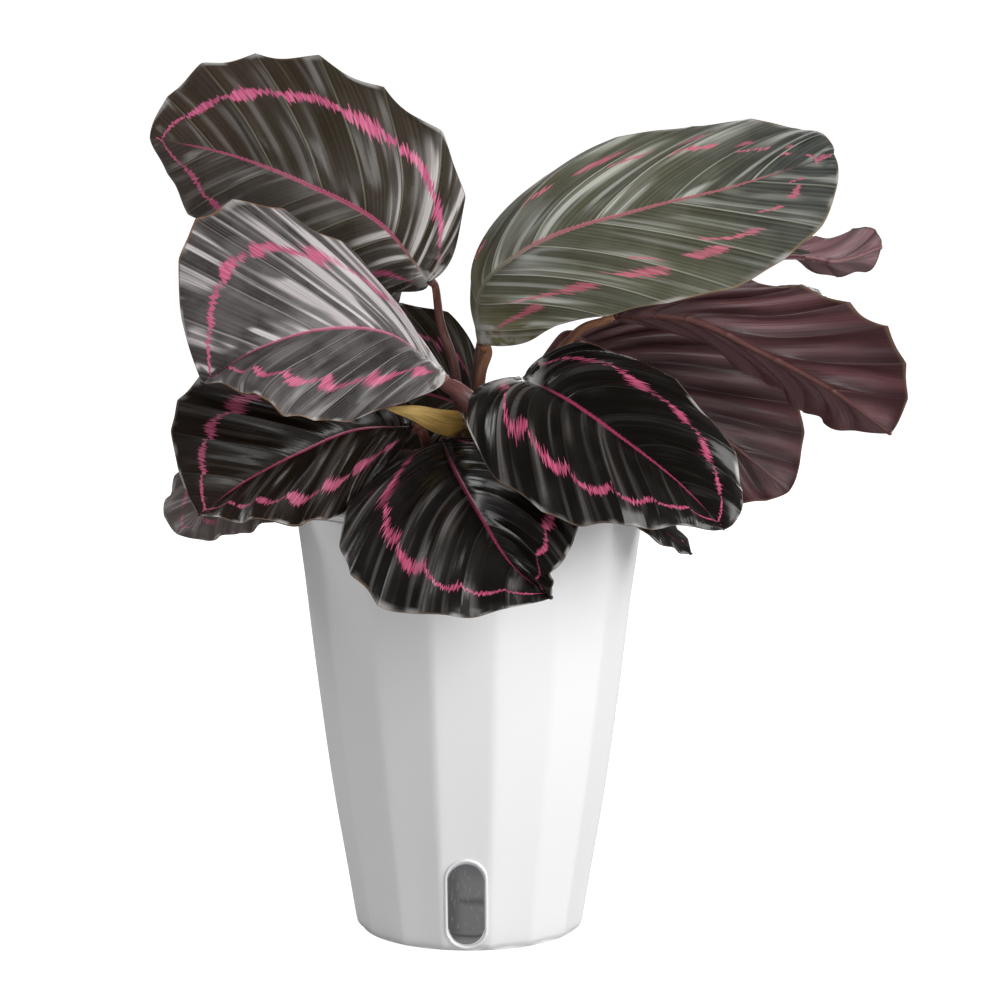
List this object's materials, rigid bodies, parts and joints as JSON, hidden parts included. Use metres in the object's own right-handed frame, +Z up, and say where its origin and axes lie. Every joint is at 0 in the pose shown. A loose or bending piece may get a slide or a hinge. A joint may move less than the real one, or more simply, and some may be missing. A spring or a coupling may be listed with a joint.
{
  "type": "potted calathea",
  "caption": "Potted calathea with dark, pink-ringed leaves on reddish stalks, standing in a white fluted self-watering pot with a water window.",
  "frame": {"origin": "centre of the pot's flat foot, on the surface that it stands on", "axes": "+Z up along the pot's axis; the water window faces -Y; +X to the viewer's right"},
  "size_m": [0.3231, 0.254, 0.3758],
  "materials": {
    "white_plastic": "smooth satin",
    "clear_plastic": "smoky clear",
    "liner_plastic": "smooth",
    "soil": "loose potting soil",
    "dark_leaf": "glossy, pleated, with a pink ring",
    "green_leaf": "glossy, pleated, with a pink ring",
    "purple_leaf": "dull purple underside",
    "stalk": "red-brown, slightly glossy",
    "dry_bract": "olive-gold, dry"
  },
  "bodies": {
    "root": {"outer_pot": "white_plastic", "water_window": "clear_plastic", "inner_pot": "liner_plastic", "soil": "soil", "dry_bract": "dry_bract", "leaf_upper_left_blade": "dark_leaf", "leaf_upper_left_stalk": "stalk", "leaf_middle_left_blade": "dark_leaf", "leaf_middle_left_stalk": "stalk", "leaf_lower_left_blade": "dark_leaf", "leaf_lower_left_stalk": "stalk", "leaf_low_left_behind_blade": "dark_leaf", "leaf_low_left_behind_stalk": "stalk", "leaf_front_blade": "dark_leaf", "leaf_front_stalk": "stalk", "leaf_right_blade": "dark_leaf", "leaf_right_stalk": "stalk", "leaf_upper_right_blade": "green_leaf", "leaf_upper_right_stalk": "stalk", "leaf_right_underside_blade": "purple_leaf", "leaf_right_underside_stalk": "stalk", "leaf_right_underside_low_blade": "purple_leaf", "leaf_right_underside_low_stalk": "stalk", "leaf_far_right_behind_blade": "purple_leaf", "leaf_far_right_behind_stalk": "stalk", "leaf_low_right_tip_blade": "dark_leaf", "leaf_low_right_tip_stalk": "stalk", "leaf_centre_behind_blade": "dark_leaf", "leaf_centre_behind_stalk": "stalk", "leaf_right_strip_behind_blade": "green_leaf", "leaf_right_strip_behind_stalk": "stalk", "leaf_back_left_blade": "dark_leaf", "leaf_back_left_stalk": "stalk", "leaf_back_low_blade": "dark_leaf", "leaf_back_low_stalk": "stalk"}
  },
  "joints": []
}
